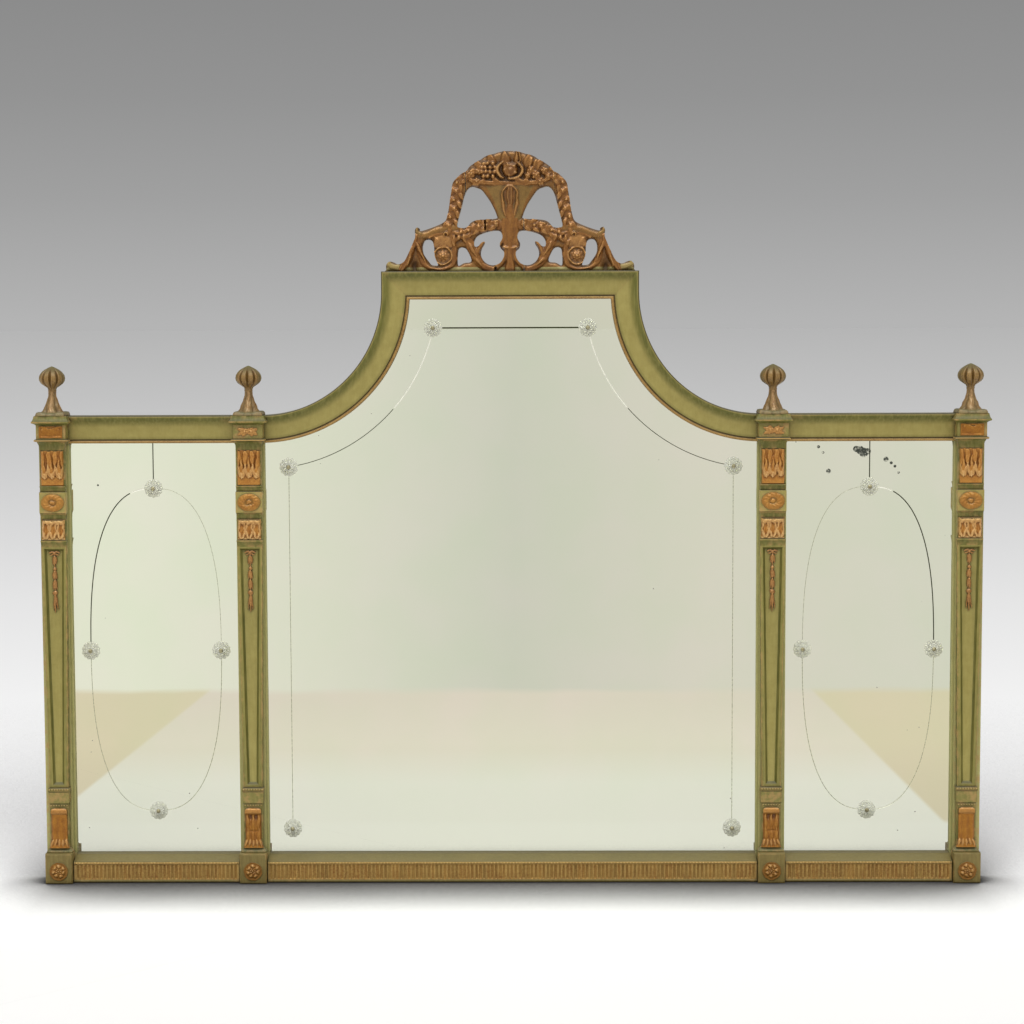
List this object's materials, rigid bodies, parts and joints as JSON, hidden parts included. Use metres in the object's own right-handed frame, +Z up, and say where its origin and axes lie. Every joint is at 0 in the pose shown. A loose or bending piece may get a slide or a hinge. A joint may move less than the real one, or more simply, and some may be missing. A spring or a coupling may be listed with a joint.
{
  "type": "overmantel mirror",
  "caption": "Wide green-painted and gilt overmantel mirror: three plates between tapered pilasters, coved shoulders and a carved openwork flower-basket crest.",
  "frame": {"origin": "middle of the base's flat underside, halfway between the wall side and the front of the base blocks", "axes": "+X to the viewer's right along the width, +Y to the wall, +Z up"},
  "size_m": [1.644, 0.0674, 1.266],
  "materials": {
    "green_paint": "aged moss-green paint over wood",
    "olive_gilt": "olive paint rubbed to a bronze tone",
    "copper_gilt": "old copper-toned gilding",
    "carved_gilt": "carved wood, worn bronze gilding with green in the hollows",
    "mirror_glass": "old silvered glass, engraved lines",
    "cut_glass": "cut glass",
    "backboard_pine": "rough pine",
    "brass": "dull brass",
    "steel": "dull steel"
  },
  "bodies": {
    "frame": {"stile_outer_left": "green_paint", "stile_inner_left": "green_paint", "stile_inner_right": "green_paint", "stile_outer_right": "green_paint", "shaft_outer_left": "green_paint", "shaft_inner_left": "green_paint", "shaft_inner_right": "green_paint", "shaft_outer_right": "green_paint", "capital_outer_left": "green_paint", "capital_inner_left": "green_paint", "capital_inner_right": "green_paint", "capital_outer_right": "green_paint", "base_block_outer_left": "olive_gilt", "base_block_inner_left": "olive_gilt", "base_block_inner_right": "olive_gilt", "base_block_outer_right": "olive_gilt", "finial_outer_left": "carved_gilt", "finial_inner_left": "carved_gilt", "finial_inner_right": "carved_gilt", "finial_outer_right": "carved_gilt", "leaf_panel_outer_left": "copper_gilt", "leaf_panel_inner_left": "copper_gilt", "leaf_panel_inner_right": "copper_gilt", "leaf_panel_outer_right": "copper_gilt", "foot_leaf_outer_left": "copper_gilt", "foot_leaf_inner_left": "copper_gilt", "foot_leaf_inner_right": "copper_gilt", "foot_leaf_outer_right": "copper_gilt", "husk_drops": "copper_gilt", "oval_pateras": "copper_gilt", "leaf_bands": "copper_gilt", "frieze_ornaments": "copper_gilt", "base_rosettes": "copper_gilt", "side_rail_left": "green_paint", "side_rail_right": "green_paint", "cove_rail_left": "green_paint", "cove_rail_right": "green_paint", "crest_rail": "green_paint", "base_rail_left": "olive_gilt", "base_rail_centre": "olive_gilt", "base_rail_right": "olive_gilt", "mirror_left": "mirror_glass", "mirror_centre": "mirror_glass", "mirror_right": "mirror_glass", "backboard_left": "backboard_pine", "backboard_centre": "backboard_pine", "backboard_right": "backboard_pine", "backboard_brads": "steel", "glass_rosettes": "cut_glass", "rosette_screws": "brass", "crest_basket": "carved_gilt", "crest_scroll_left": "carved_gilt", "crest_scroll_right": "carved_gilt", "hanger_strap_left": "brass", "hanger_strap_right": "brass", "hanger_screws": "steel"},
    "ring_left": {"hanger_ring_left": "steel"},
    "ring_right": {"hanger_ring_right": "steel"}
  },
  "joints": [
    {"name": "ring_left_swing", "type": "hinge", "parent": "frame", "child": "ring_left", "pos_m": [-0.451, 0.03208, 0.69], "axis": [1, 0, 0], "range_deg": [0, 175]},
    {"name": "ring_right_swing", "type": "hinge", "parent": "frame", "child": "ring_right", "pos_m": [0.451, 0.03208, 0.69], "axis": [1, 0, 0], "range_deg": [0, 175]}
  ]
}
